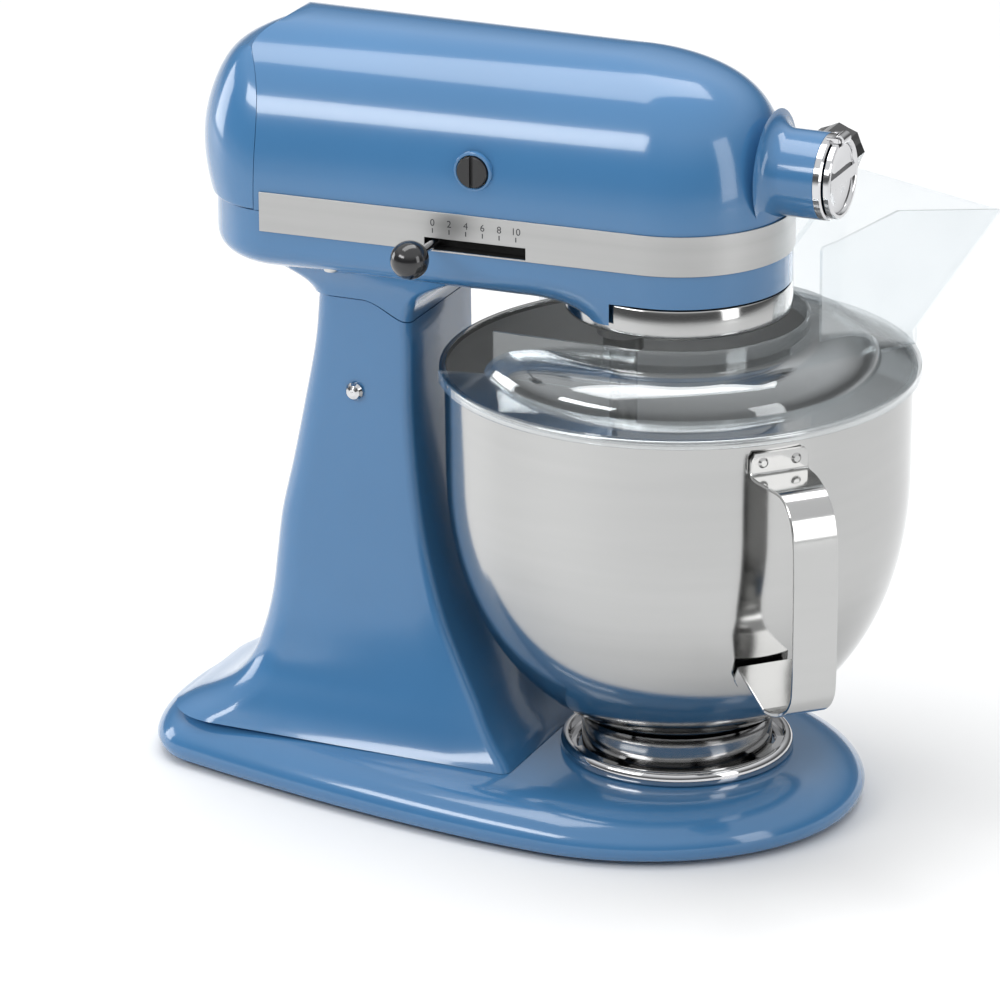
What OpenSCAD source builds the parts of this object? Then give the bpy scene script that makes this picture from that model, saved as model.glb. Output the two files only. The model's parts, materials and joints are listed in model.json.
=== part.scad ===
// Tilt-head stand mixer with a mixing bowl, a clear pouring shield and its gear train.
// Millimetres. The bowl's axis is x = 0, y = 0, and the counter is z = 0.
// +X points to the attachment hub, -Y to the speed lever and +Z up.

/* [Head] */
// Half width of the head over the bowl
head_half = 51.5; // [51:0.25:52.5]
// Extra half width of the head at its rear end
head_flare = 6.5; // [5:0.5:8]
// Height of the top of the head
head_top = 357; // [354:1:360]
// Wall thickness of the castings
wall = 3.5; // [3:0.25:4]
// Height of the attachment hub's axis
hub_z = 307.5; // [306:0.5:308]
// Width of the trim band
band_h = 18.5; // [17:0.5:19]
// Height of the motor's axis
motor_z = 305; // [304:0.5:306]

/* [Stand] */
// Half width of the base at its widest
base_half_w = 99; // [96:1:102]
// Height of the base's flat top
base_top = 24.3; // [24:0.1:24.6]
// Height of the rear of the joint between the column and the head
seam_z = 234; // [233.5:0.25:234.5]
// Position of the hinge pin along X
hinge_x = -166; // [-168:0.5:-165]
// Height of the hinge pin
hinge_z = 247; // [246.5:0.25:247.5]
// Radius of the hinge pin
hinge_r = 4.8; // [4.5:0.1:5]

/* [Bowl] */
// Radius of the bowl's straight wall
bowl_r = 105.8; // [105:0.1:106]
// Height of the bowl's rim
rim_z = 211.4; // [210:0.2:212]
// Thickness of the bowl's sheet
bowl_t = 1; // [0.8:0.1:1.2]
// Direction of the bowl's handle, counted from +X
handle_angle = -43.8; // [-60:0.2:-30]

/* [Gears] */
// Backlash of each tooth flank, in degrees at the wheel with fewer teeth
lash = 0.35; // [0.25:0.05:0.5]

/* [Hidden] */

$fn = 48;
gap = 0.3;                                    // seam between neighbouring castings
split_z = 278;                                // joint of the housing and the gear case
arch_n = 2.35;                                // roundness of the head's arch
arch_h = head_top - split_z;
nose_z = 253;                                 // underside of the gear case over the bowl
belly_z = 243;                                // underside of the gear case behind the bowl
rear_x = -181;                                // where the gear case starts to round off
rear_round = 40.4;                            // depth of the gear case's rounded rear
dome_z = 303;                                 // height of the rear cover's furthest point
dome_x = -184;                                // rear cover's seam, below the dome's middle
dome_deep = 44;
cover_top = 347;                              // top of the rear cover
column_front = -117;
gear_module = 1.5;                            // tooth module of the spur gears
centre_teeth = 58;                            // centre gear, driven by the wheel's pinion
pinion_teeth = 18;
ring_teeth = 52;                              // fixed ring gear around the planet pinion
planet_teeth = 16;
orbit_r = gear_module * (ring_teeth - planet_teeth) / 2;
centre_dist = gear_module * (centre_teeth + pinion_teeth) / 2;
wheel_x = -51;                                // worm wheel's axis
wheel_y = sqrt(centre_dist * centre_dist - wheel_x * wheel_x);

function mix(a, b, t) = a + (b - a) * t;
function clamp01(t) = min(1, max(0, t));
function ease(t) = let (u = clamp01(t)) u * u * (3 - 2 * u);

// Closed skin over a stack of outlines, each counterclockwise from above, lowest first
module loft(rings) {
    n = len(rings[0]);
    m = len(rings);
    points = [for (ring = rings) each ring];
    sides = [
        for (k = [0 : m - 2], i = [0 : n - 1])
            let (j = (i + 1) % n, a = k * n, b = (k + 1) * n)
                each [[a + i, b + i, b + j], [a + i, b + j, a + j]]
    ];
    bottom = [for (i = [0 : n - 1]) i];
    top = [for (i = [n - 1 : -1 : 0]) (m - 1) * n + i];
    polyhedron(points, concat([bottom, top], sides));
}

// Rod along a named axis, from its centre of one end
module rod_x(x0, x1, r, y = 0, z = 0) {
    translate([x0, y, z]) rotate([0, 90, 0]) cylinder(r = r, h = x1 - x0);
}
module rod_y(y0, y1, r, x = 0, z = 0) {
    translate([x, y0, z]) rotate([-90, 0, 0]) cylinder(r = r, h = y1 - y0);
}
module rod_z(z0, z1, r, x = 0, y = 0) {
    translate([x, y, z0]) cylinder(r = r, h = z1 - z0);
}
module tube_z(z0, z1, r_out, r_in, x = 0, y = 0) {
    difference() {
        rod_z(z0, z1, r_out, x, y);
        rod_z(z0 - 1, z1 + 1, r_in, x, y);
    }
}

// ---- Head outlines -------------------------------------------------------

function head_w(x) = head_half + head_flare * max(0, -x) / 180;
function arch_k(t) = pow(max(0, 1 - pow(t, arch_n)), 1 / arch_n);
function nose_x(t) = -26 * pow(t, 10);
function seam_x(z) = dome_x - 14 * pow(max(0, (z - 300) / 50), 3.5);
function shoulder_x(z) = z < cover_top
    ? seam_x(z)
    : mix(seam_x(cover_top), rear_x, (z - cover_top) / (head_top - cover_top));

// Outline of the upper housing: straight sides and a round nose
function housing_ring(z, k, xr, xc, inset) = let (w = k * head_w(xc) - inset) concat(
    [for (x = [xr, xc]) [x, -(k * head_w(x) - inset), z]],
    [for (i = [1 : 13]) let (a = -90 + 180 * i / 14) [xc + w * cos(a), w * sin(a), z]],
    [for (x = [xc, xr]) [x, k * head_w(x) - inset, z]]);

function housing_rings() = [
    for (a = [0, 9, 18, 28, 38, 48, 58, 67, 75, 81, 85.5, 88.5])
        let (k = pow(cos(a), 2 / arch_n), t = pow(sin(a), 2 / arch_n), z = split_z + arch_h * t)
            housing_ring(z, k, shoulder_x(z), nose_x(t), 0)];

// Inside of the housing from rear end x; it stops short of the sloping shoulder
function housing_hollow(angles, x, inset) = [
    for (a = angles)
        let (k = pow(cos(a), 2 / arch_n), t = a < 0 ? -0.02 : pow(sin(a), 2 / arch_n))
            housing_ring(split_z + (arch_h - wall) * t, k, x, nose_x(abs(t)), inset)];

// Outline of the rear cover: half an ellipse behind the seam
function dome_depth(z) = z > dome_z
    ? dome_deep * sqrt(1 - pow((z - dome_z) / (cover_top - dome_z + 0.3), 2))
    : dome_deep * (1 - 0.11 * pow((dome_z - z) / 25, 2));
function dome_ring(z, front, inset) = let (
    w = arch_k((z - split_z) / arch_h) * head_w(dome_x) - inset,
    d = dome_depth(z) - inset) concat(
        [for (i = [0 : 14]) let (a = 90 + 180 * i / 14) [seam_x(z) - gap + d * cos(a), w * sin(a), z]],
        [[seam_x(z) - gap + front, -w, z], [seam_x(z) - gap + front, w, z]]);

// Outline of the gear case: round at both ends, drawn in below towards the belly
function case_inset(z) = z > 262 ? 0 : 34 * pow((262 - z) / 19, 3);
function case_ring(z, inset) = let (
    s = case_inset(z) + inset,
    back = [for (i = [1 : 11]) let (a = 90 + 180 * i / 12)
        [rear_x + (rear_round - s * 0.8) * cos(a), (head_w(rear_x) - s) * sin(a), z]],
    side = [for (i = [0 : 8]) let (x = mix(rear_x, 0, i / 8), d = inset + case_inset(z) * ease((-x - 14) / 40))
        [x, -(head_w(x) - d), z]],
    nose = [for (i = [1 : 15]) let (a = -90 + 180 * i / 16)
        [(head_half - inset) * cos(a), (head_half - inset) * sin(a), z]],
    far = [for (i = [8 : -1 : 0]) [side[i][0], -side[i][1], z]]) concat(side, nose, far, back);

// ---- Column and base outlines -------------------------------------------

// Upright outline with four rounded corners
function block_ring(z, xf, xr, wf, wr, rf, rr) = concat(
    [for (i = [0 : 5]) let (a = 180 + 18 * i) [xr + rr + rr * cos(a), -wr + rr + rr * sin(a), z]],
    [for (i = [0 : 3]) let (a = 270 + 30 * i) [xf - rf + rf * cos(a), -wf + rf + rf * sin(a), z]],
    [for (i = [0 : 3]) let (a = 30 * i) [xf - rf + rf * cos(a), wf - rf + rf * sin(a), z]],
    [for (i = [0 : 5]) let (a = 90 + 18 * i) [xr + rr + rr * cos(a), wr - rr + rr * sin(a), z]]);

// Column: height, front x, rear x, half width in front and behind, rear corner radius
COLUMN = [
    [24.5, -57, -239, 66, 61, 30],
    [28, -60, -233, 63.5, 59.5, 29],
    [34, -66, -221, 60.5, 57, 27],
    [42, -72, -209, 57.5, 54.5, 24],
    [52, -78, -201, 54, 51, 22],
    [66, -87, -195, 49.5, 48.5, 20],
    [84, -97, -191, 45.5, 45.5, 19],
    [104, -104.5, -189, 42.5, 43, 18],
    [125, -110, -186, 40.5, 41.5, 16],
    [150, -114, -180.5, 39, 39.5, 15],
    [180, -116.5, -174, 38, 38, 13],
    [210, -117, -168, 37.5, 37.5, 12],
    [236, -117, -165.5, 37.5, 37.5, 12]];
function column_ring(c, inset, rise = 0) =
    block_ring(c[0] + rise, c[1] - inset, c[2] + inset, c[3] - inset, c[4] - inset, 5, c[5] - inset);

// Neck of the gear case, standing on the column
NECK = [
    [222, -117, -165.5, 37.5, 37.5, 12],
    [230, -116.5, -166, 37.5, 37.5, 12],
    [236, -113.5, -168.5, 38.5, 38.5, 12],
    [241, -108, -173, 40.5, 40.5, 12],
    [246, -99, -180, 43.5, 43.5, 12],
    [252, -86, -190, 47.5, 47.5, 12]];

// Base: a long egg, broad under the bowl
base_mid = -25;
base_front = 87;
base_back = -254;
function base_side(x) = x > base_mid
    ? base_half_w * sqrt(max(0, 1 - pow((x - base_mid) / (base_front - base_mid), 2)))
    : (base_half_w - 38 * pow((base_mid - x) / 205, 1.6)) * base_end(x);
function base_end(x) = x > -226 ? 1 : pow(max(0, 1 - pow((-226 - x) / 28, 2.4)), 1 / 2.4);
function base_ring(z, inset) = let (mid = (base_front + base_back) / 2, half = (base_front - base_back) / 2)
    [for (i = [0 : 47]) let (
        a = 7.5 * i,
        x = mid + half * cos(a),
        y = base_side(x) * (a < 180 ? 1 : -1))
        [mid + (x - mid) * (1 - inset / half), y * (1 - inset / base_half_w), z]];

// ---- Gears ----------------------------------------------------------------

function involute(a) = tan(a) * 180 / PI - a;
// Half the angle of a tooth at radius r
function tooth_half(r, teeth, slack) = let (rp = gear_module * teeth / 2, rb = rp * cos(20))
    90 / teeth - slack + involute(20) - involute(acos(rb / max(r, rb)));
// Spur outline between a root and a tip radius; slack below zero makes the tooth space of a ring
function gear_outline(teeth, root, tip, slack) = let (
    low = max(root, gear_module * teeth / 2 * cos(20)),
    radii = [root, mix(low, tip, 0.35), mix(low, tip, 0.7), tip])
    [for (i = [0 : teeth - 1]) each concat(
        [for (r = radii) let (a = 360 * i / teeth - tooth_half(r, teeth, slack)) r * [cos(a), sin(a)]],
        [for (k = [3 : -1 : 0]) let (r = radii[k], a = 360 * i / teeth + tooth_half(r, teeth, slack))
            r * [cos(a), sin(a)]])];
// Spur gear with a tooth on +X
module spur(teeth, h) {
    rp = gear_module * teeth / 2;
    linear_extrude(h) polygon(gear_outline(teeth, rp - 1.15 * gear_module, rp + 0.85 * gear_module,
        lash * planet_teeth / teeth));
}

// ---- Stand -----------------------------------------------------------------

FEET = [[62, 0], [-20, 78], [-20, -78], [-212, 40], [-212, -40]];
PEDESTAL_SCREWS = [[-95, 38], [-95, -38], [-195, 34], [-195, -34]];
CLAMP_SCREWS = [for (a = [45, 165, 285]) [36 * cos(a), 36 * sin(a)]];
clamp_r = 53.9;
clamp_recess = 21;

module base_plate() {
    profile = [[3, 2.5], [5.5, 0.6], [9, 0], [13.5, 1.8], [18, 6], [21.5, 12], [23.5, 19], [base_top, 27]];
    color("cornflowerblue") difference() {
        union() {
            difference() {
                loft([for (p = profile) base_ring(p[0], p[1])]);
                loft([base_ring(2, 8), base_ring(12, 9), base_ring(17, 20)]);
            }
            for (p = FEET) rod_z(3, 18, 8, p[0], p[1]);
            for (p = PEDESTAL_SCREWS) rod_z(10, 20, 9, p[0], p[1]);
            for (p = CLAMP_SCREWS) rod_z(8, 19, 7, p[0], p[1]);
        }
        rod_z(clamp_recess, 30, 48.4);
        for (p = FEET) rod_z(2, 12, 3, p[0], p[1]);
        for (p = PEDESTAL_SCREWS) rod_z(9, 30, 3.3, p[0], p[1]);
        for (p = CLAMP_SCREWS) rod_z(10, 30, 2.2, p[0], p[1]);
    }
}

// Space above the joint of the column and the head: flat behind and falling in front
module above_seam(offset_z) {
    z = seam_z + offset_z;
    points = concat([[-260, z]],
        [for (i = [0 : 6]) [mix(-140, column_front + 1, i / 6), z - 9 * ease(i / 6) ]],
        [[-60, z - 9], [-60, 300], [-260, 300]]);
    translate([0, 100, 0]) rotate([90, 0, 0]) linear_extrude(200) polygon(points);
}

lock_x = -144;
lock_z = 190;
lock_r = 4;

module pedestal() {
    color("cornflowerblue") difference() {
        union() {
            difference() {
                loft([for (c = COLUMN) column_ring(c, 0)]);
                // Hollow, with a frame-like floor and a solid deck on top
                loft([for (c = COLUMN) if (c[0] < 220) column_ring(c, 5, 7 - c[0] / 60)]);
                translate([-185, -24, 20]) cube([90, 48, 20]);
                above_seam(0);
            }
            // Posts for the screws that come up through the base
            for (p = PEDESTAL_SCREWS) rod_z(24.5, 44, 8, p[0], p[1]);
            // Two ears that carry the hinge pin
            for (y = [-27, 17]) {
                rod_y(y, y + 10, 6.5, hinge_x, hinge_z);
                translate([hinge_x, y, 215]) cube([12, 10, hinge_z - 219]);
            }
        }
        rod_y(-30, 30, hinge_r, hinge_x, hinge_z);
        rod_y(-60, 60, lock_r + 0.05, lock_x, lock_z);
        rod_z(180, 240, lock_r + 0.05, lock_x, 0);
        rod_z(hinge_z, hinge_z + 12, 2, hinge_x, 22);
        for (p = PEDESTAL_SCREWS) rod_z(20, 40, 2.9, p[0], p[1]);
    }
}

module rubber_feet() {
    color("dimgray") for (p = FEET) translate([p[0], p[1], 0]) rotate_extrude()
        polygon([[0, 0], [7.5, 0], [8.6, 1], [8.6, 2.9], [2.9, 2.9], [2.9, 9], [0, 9]]);
}

module screw(head_r, head_h, shank_r, length) {
    rotate_extrude() polygon([[0, 0], [head_r * 0.9, 0], [head_r, head_h * 0.3], [head_r, head_h],
        [shank_r, head_h], [shank_r, head_h + length], [0, head_h + length]]);
}

module pedestal_screws() {
    color("silver") for (p = PEDESTAL_SCREWS) translate([p[0], p[1], 6]) screw(6, 4, 2.8, 29);
}

module bowl_clamp_plate() {
    color("silver") difference() {
        union() {
            rotate_extrude($fn = 96) polygon([
                [30, clamp_recess], [48, clamp_recess], [48, base_top + 0.1], [clamp_r - 1, base_top + 0.1],
                [clamp_r, base_top + 1.4], [clamp_r - 0.4, 29.2], [clamp_r - 2.4, 31], [51, 31.2],
                [49.6, 30.2], [49.6, 26.6], [48.8, 25.8], [46.5, 25.8], [45, 23.6], [30, 23.6]]);
            // Lips that hold the bowl's tabs down
            for (a = [0, 120, 240]) rotate(a - 17) rotate_extrude(angle = 34, $fn = 96)
                polygon([[46.4, 28.6], [50, 28.6], [50, 30], [46.4, 30]]);
        }
        for (p = CLAMP_SCREWS) rod_z(20, 25, 2.4, p[0], p[1]);
    }
}

module clamp_plate_screws() {
    color("silver") for (p = CLAMP_SCREWS) translate([p[0], p[1], 25.4]) mirror([0, 0, 1])
        screw(4.5, 1.8, 2.1, 12);
}

module hinge_pin() {
    color("silver") rod_y(-27, 27, hinge_r, hinge_x, hinge_z);
}

module hinge_set_screw() {
    color("dimgray") rod_z(hinge_z + hinge_r, hinge_z + 8, 2, hinge_x, 22);
}

// Shaft across the column with a chrome cap, a cam and the lever's root
module lock_shaft() {
    color("silver") {
        rod_y(-38, lever_y - 4, lock_r, lock_x, lock_z);
        translate([lock_x, -38, lock_z]) rotate([90, 0, 0]) rotate_extrude()
            polygon([[0, 0], [4.3, 0], [4.3, 1.2], [3.2, 2.6], [1.6, 3.3], [0, 3.4]]);
        translate([lock_x, 4, lock_z]) rotate([90, 0, 0]) linear_extrude(8) difference() {
            polygon([for (i = [0 : 23]) let (a = 15 * i, r = 9 + 7 * clamp01((a - 90) / 60) * (a < 200 ? 1 : 0)) r * [cos(a), sin(a)]]);
            circle(r = lock_r - 0.5);
        }
    }
}

lever_len = 30;
lever_y = 50;
module lock_lever() {
    color("silver") {
        difference() {
            rod_y(lever_y - 4, lever_y + 4, 8, lock_x, lock_z);
            rod_y(lever_y - 5, lever_y + 5, 2, lock_x, lock_z);
        }
        translate([lock_x, lever_y, lock_z]) rotate([0, 90, 0]) translate([0, 0, -lever_len])
            cylinder(r = 3, h = lever_len - 6.4);
    }
}

module lock_knob() {
    color("black") translate([lock_x - lever_len - 8, lever_y, lock_z]) rotate([0, 90, 0]) rotate_extrude()
        polygon([for (i = [0 : 12]) let (a = -90 + 15 * i) 8.5 * [max(0, cos(a)), sin(a) * 0.95]]);
}

module lock_pin() {
    color("silver") rod_z(201.6, 232.8, lock_r, lock_x, 0);
}

// ---- Head ------------------------------------------------------------------

brush_x = -78;
brush_z = motor_z + 2;
module motor_housing() {
    color("cornflowerblue") difference() {
        union() {
            difference() {
                loft(housing_rings());
                loft(housing_hollow([-6, 12, 30, 46, 60, 72, 81], -178, wall));
                // Below the shoulder the housing is open to the rear cover
                loft(housing_hollow([-9, 15, 32, 48], -230, wall + 0.7));
            }
            // Posts for the screws that come up through the gear case
            for (p = CASE_SCREWS) rod_z(split_z, 292, case_post_r, p[0], p[1]);
            translate([0, 0, hub_z]) rotate([0, 90, 0]) rotate_extrude() polygon(concat(
                [[0, 36], [20.4, 36], [20.4, 46]],
                [for (i = [1 : 5]) let (a = 18 * i) [19.7 + 8 * (1 - sin(a)), 54 - 8 * cos(a)]],
                [[19.7, 71], [0, 71]]));
            for (s = [-1, 1]) rod_y(s > 0 ? 34 : -53.4, s > 0 ? 53.4 : -34, 9.2, brush_x, brush_z);
        }
        rod_x(34, 80, 17, 0, hub_z);
        for (s = [-1, 1]) rod_y(s > 0 ? 30 : -60, s > 0 ? 60 : -30, 7.6, brush_x, brush_z);
        rod_y(10, 40, 3.2, 61, hub_z);
        for (p = CASE_SCREWS) rod_z(split_z - 1, 287, 2.1, p[0], p[1]);
    }
}

module rear_cover() {
    color("cornflowerblue") difference() {
        loft([for (z = [split_z + gap, 286, 295, 304, 313, 322, 330, 337, 342, 345.2, 346.8]) dome_ring(z, 0, 0)]);
        loft([for (z = [split_z - 3, 286, 300, 315, 330, 338, 342.5]) dome_ring(z, 4, 3)]);
        rod_x(-236, -210, 2.6, 0, cover_screw_z);
        rod_x(-236, -226.6, 4.5, 0, cover_screw_z);
    }
}

cover_screw_z = 290;
module rear_cover_screw() {
    color("silver") translate([-228.6, 0, cover_screw_z]) rotate([0, 90, 0]) screw(4.4, 2, 2.5, 38);
}

module gearcase_lower() {
    case_z = [belly_z, 243.6, 244.8, 246.8, 249.6, 253.5, 258, 264, split_z - gap];
    color("cornflowerblue") difference() {
        union() {
            difference() {
                union() {
                    loft([for (z = case_z) case_ring(z, 0)]);
                    loft([for (c = NECK) column_ring(c, 0)]);
                }
                difference() {
                    loft([for (z = [247, 250, 256, 264, split_z + 2]) case_ring(z, wall)]);
                    translate([-58, -60, 240]) cube([130, 120, nose_z + wall - 240]);
                }
                // Hollow of the neck, from the column up into the case
                loft([for (c = NECK) column_ring(c, wall)]);
            }
            // Boss around the hinge pin, with a web up to the case's floor
            rod_y(-16.4, 16.4, 10.5, hinge_x, hinge_z);
            translate([hinge_x - 20, -16.4, hinge_z]) cube([62, 32.8, 5]);
            // Ledge in front with the lock's hole
            translate([-151, -35.5, seam_z + 2]) cube([29, 71, 4]);
            rod_z(seam_z + 2, hinge_z + 2, 8, lock_x, 0);
            // Bosses of the gear shafts
            rod_z(nose_z + 1, 261, 14);
            rod_z(nose_z + 1, 261, 10.5, wheel_x, wheel_y);
            for (p = CASE_SCREWS) rod_z(p[2] - 0.4, split_z - gap, case_post_r, p[0], p[1]);
        }
        rod_z(200, nose_z, 53.5);
        column_space();
        rod_y(-17, 17, hinge_r + 0.05, hinge_x, hinge_z);
        rod_z(220, 260, lock_r + 0.2, lock_x, 0);
        rod_z(240, 270, 8.6);
        rod_z(bush_z, 270, 10);
        rod_z(bush_z, 270, 7, wheel_x, wheel_y);
        // Ears of the column pass through the neck's rear wall as the head tilts
        for (y = [-27.5, 16.5]) translate([hinge_x, y + 11, hinge_z]) rotate([90, 0, 0]) linear_extrude(11)
            polygon(concat([[0, 0]], [for (i = [0 : 5]) let (a = -80 - 13 * i) 14 * [cos(a), sin(a)]]));
        for (p = CASE_SCREWS) {
            rod_z(236, p[2] + 2.6, 4.2, p[0], p[1]);
            rod_z(236, 300, 2.2, p[0], p[1]);
        }
        // Slot of the speed lever, behind the trim band
        translate([-102, -62, slot_z]) cube([52, 14, slot_h]);
        rod_y(40, 70, 6, -196, 262);
    }
}

// Everything below the joint, and the column's sweep behind the hinge as the head tilts
module column_space() {
    difference() {
        translate([-300, -100, 150]) cube([400, 200, seam_z + 5 - 150]);
        above_seam(0.6);
    }
    reach = hinge_z - seam_z - 0.6;
    translate([hinge_x, 100, hinge_z]) rotate([90, 0, 0]) linear_extrude(200) polygon(concat(
        [for (i = [0 : 5]) let (a = -90 - 11 * i) reach * [cos(a), sin(a)]],
        [70 * [cos(-145), sin(-145)], [0, -70]]));
}

// Screws of the gear case: x, y and the height of the head's underside
CASE_SCREWS = [[-30, 43, 253.6], [-30, -43, 253.6], [-150, 48, 250.4], [-150, -48, 250.4]];
case_post_r = 6.5;
slot_z = 269.2;                               // slot of the speed lever
slot_h = 5.6;
bush_z = 253.2;                               // underside of the shaft bushes
bush_gap = 0.06;                              // clearance of a bush in its bore

module gearcase_screws() {
    color("silver") for (p = CASE_SCREWS) translate(p) screw(4, 2.5, 2.1, 30);
}

module trim_band() {
    z0 = 268.5;
    color("silver") difference() {
        band(z0, 0.9);
        translate([0, 0, -1]) band(z0, 0.35, band_h + 2);
        translate([-100.5, -70, slot_z]) cube([48.5, 20, slot_h]);
        translate([-300, -100, z0 - 2]) cube([300 + rear_x, 200, 40]);
    }
}
module band(z0, out, h = band_h) {
    ring = housing_ring(0, 1, rear_x - 4, 0, -out);
    translate([0, 0, z0]) linear_extrude(h) polygon([for (p = ring) [p[0], p[1]]]);
}

module brush_holders() {
    color("goldenrod") for (s = [-1, 1]) difference() {
        rod_y(s > 0 ? 22 : -50, s > 0 ? 50 : -22, 7.4, brush_x, brush_z);
        translate([brush_x - 3.6, s > 0 ? 20 : -52, brush_z - 3.6]) cube([7.2, 32, 7.2]);
    }
}

module carbon_brushes() {
    color("dimgray") for (s = [-1, 1])
        translate([brush_x - 3.4, s > 0 ? 15.3 : -34.3, brush_z - 3.4]) cube([6.8, 19, 6.8]);
}

module brush_caps() {
    color("black") for (s = [-1, 1]) difference() {
        rod_y(s > 0 ? 50.2 : -54.8, s > 0 ? 54.8 : -50.2, 7.3, brush_x, brush_z);
        translate([brush_x - 1, s > 0 ? 53.2 : -56, brush_z - 8]) cube([2, 2.8, 16]);
    }
}

stator_x = [-168, -112];
module motor_stator() {
    color("saddlebrown") difference() {
        rod_x(stator_x[0], stator_x[1], 41, 0, motor_z);
        rod_x(stator_x[0] - 1, stator_x[1] + 1, 27, 0, motor_z);
        for (s = [-1, 1]) translate([stator_x[0] - 1, s > 0 ? 38 : -48, motor_z - 50]) cube([60, 10, 100]);
    }
}

module bearing_bracket() {
    color("dimgray") {
        difference() {
            union() {
                rod_x(-193, -187, 14, 0, motor_z);
                translate([-193, -50, motor_z - 6]) cube([5, 100, 12]);
                translate([-193, -8, 283]) cube([5, 16, 20]);
            }
            rod_x(-200, -180, 8, 0, motor_z);
            rod_x(-200, -180, 2.5, 0, cover_screw_z);
        }
        // Bracket that holds the front bearing
        difference() {
            translate([-72, -20, motor_z - 20]) cube([6, 32, 40]);
            rod_x(-80, -60, 8, 0, motor_z);
        }
    }
}

module motor_bearings() {
    color("silver") for (x = [-193, -72]) difference() {
        rod_x(x, x + 6, 8, 0, motor_z);
        rod_x(x - 1, x + 7, 4.05, 0, motor_z);
    }
}

module control_board() {
    color("green") {
        translate([-180, -20, 258]) cube([5, 30, 2]);
        translate([-110, 20, 262]) cube([34, 20, 2]);
        translate([-104, 24, 264]) cube([10, 8, 7]);
    }
}

module cord_grommet() {
    color("black") difference() {
        union() {
            rod_y(50, 58, 5.8, -196, 262);
            rod_y(56.6, 64, 8, -196, 262);
        }
        rod_y(49, 62, 3.2, -196, 262);
    }
}

module armature() {
    color("peru") {
        rod_x(stator_x[0], stator_x[1], 26.4, 0, motor_z);
        rod_x(-196, -38, 4, 0, motor_z);
    }
    worm();
}
// Worm on the front end of the armature's shaft
module worm() {
    color("silver") for (i = [0 : 6]) translate([-64 + 4 * i, 0, motor_z]) rotate([0, 90, 0]) rotate_extrude()
        polygon([[3, 0], [5.2, 0], [6.9, 1.1], [6.9, 1.7], [5.2, 2.8], [5.2, 4.001], [3, 4.001]]);
}

module commutator() {
    color("peru") difference() {
        rod_x(-88, -74, 15, 0, motor_z);
        rod_x(-89, -73, 4, 0, motor_z);
        for (i = [0 : 11]) translate([-90, 0, motor_z]) rotate([30 * i, 0, 0]) translate([0, -0.4, 13.6]) cube([20, 0.8, 3]);
    }
}

module cooling_fan() {
    color("white") {
        difference() {
            rod_x(-108, -106, 34, 0, motor_z);
            rod_x(-109, -105, 4, 0, motor_z);
        }
        for (i = [0 : 8]) translate([-106, 0, motor_z]) rotate([40 * i, 0, 0]) translate([0, -0.7, 12]) cube([8, 1.4, 21]);
    }
}

module worm_wheel() {
    color("darkgoldenrod") translate([wheel_x, wheel_y, motor_z - 5]) difference() {
        linear_extrude(10) polygon([for (i = [0 : 23]) each [
            for (k = [[15.9, -5], [17.6, -2.2], [17.6, 2.2], [15.9, 5]])
                let (a = 15 * i + k[1]) k[0] * [cos(a), sin(a)]]]);
        translate([0, 0, -1]) cylinder(r = 5, h = 12);
    }
}

// Pinion and shaft turn with the worm wheel; a tooth gap faces the centre gear's tooth
module worm_wheel_shaft() {
    color("silver") translate([wheel_x, wheel_y, 0]) {
        rod_z(254.2, 318, 4.95);
        rod_z(273.5, motor_z - 5.1, 8);
        translate([0, 0, 264]) rotate(mesh_angle() + 180 + 180 / pinion_teeth) spur(pinion_teeth, 9);
    }
}
function mesh_angle() = atan2(wheel_y, wheel_x);

bevel_apex = hub_z;
bevel_slope = 17 / 26;
module centre_gear() {
    color("silver") difference() {
        union() {
            translate([0, 0, 264.5]) rotate(mesh_angle()) spur(centre_teeth, 8);
            rod_z(272.4, 289, 14);
            rotate_extrude() polygon([[13, 272.4], [31, 272.4], [31, bevel_apex - 31 * bevel_slope - 0.6],
                [20, bevel_apex - 20 * bevel_slope - 0.6], [13, bevel_apex - 20 * bevel_slope - 0.6]]);
        }
        rod_z(250, 300, 8);
        for (i = [0 : 29]) rotate(12 * i + 6) translate([20, 0, bevel_apex - 20 * bevel_slope - 0.6])
            rotate([0, 33.2, 0]) translate([-4, -0.9, -1.8]) cube([20, 1.8, 4]);
    }
}

module centre_shaft() {
    color("silver") {
        rod_z(232.4, 292, 7.95);
        rod_z(289.2, 291.5, 11);
    }
}

module shaft_bushes() {
    color("peru") {
        tube_z(bush_z, 263, 10 - bush_gap, 8);
        tube_z(bush_z, 263, 7 - bush_gap, 5, wheel_x, wheel_y);
    }
}

ring_z = 243.5;
module ring_gear() {
    rp = gear_module * ring_teeth / 2;
    color("silver") difference() {
        rod_z(ring_z, nose_z - 0.05, 44.6);
        translate([0, 0, ring_z - 1]) linear_extrude(20)
            polygon(gear_outline(ring_teeth, rp - 0.8 * gear_module, rp + 1.2 * gear_module, -0.12));
    }
}

carrier_z = 233;
beater_r = 6.4;
module planetary_carrier() {
    color("dimgray") difference() {
        union() {
            rotate_extrude($fn = 96) polygon([[0, carrier_z + 1], [38, carrier_z + 1], [42, carrier_z + 3],
                [49.9, 239.4], [49.9, 242], [44, 242.2], [0, 242.2]]);
            rod_z(230, 236, 12);
            rod_z(222, 236, 12, -orbit_r, 0);
        }
        rod_z(220, 260, 7.95);
        rod_z(220, 260, beater_r + 0.05, -orbit_r, 0);
    }
}

module drip_ring() {
    color("silver") rotate_extrude($fn = 96) polygon([[49.9, 239], [51, 238.9], [51.6, 239.6], [51.6, 252],
        [50.2, 252], [50.2, 243], [49.9, 242]]);
}

module planet_pinion() {
    color("silver") translate([-orbit_r, 0, ring_z + 0.7]) difference() {
        rotate(180) spur(planet_teeth, 8);
        translate([0, 0, -1]) cylinder(r = beater_r, h = 12);
    }
}

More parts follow.
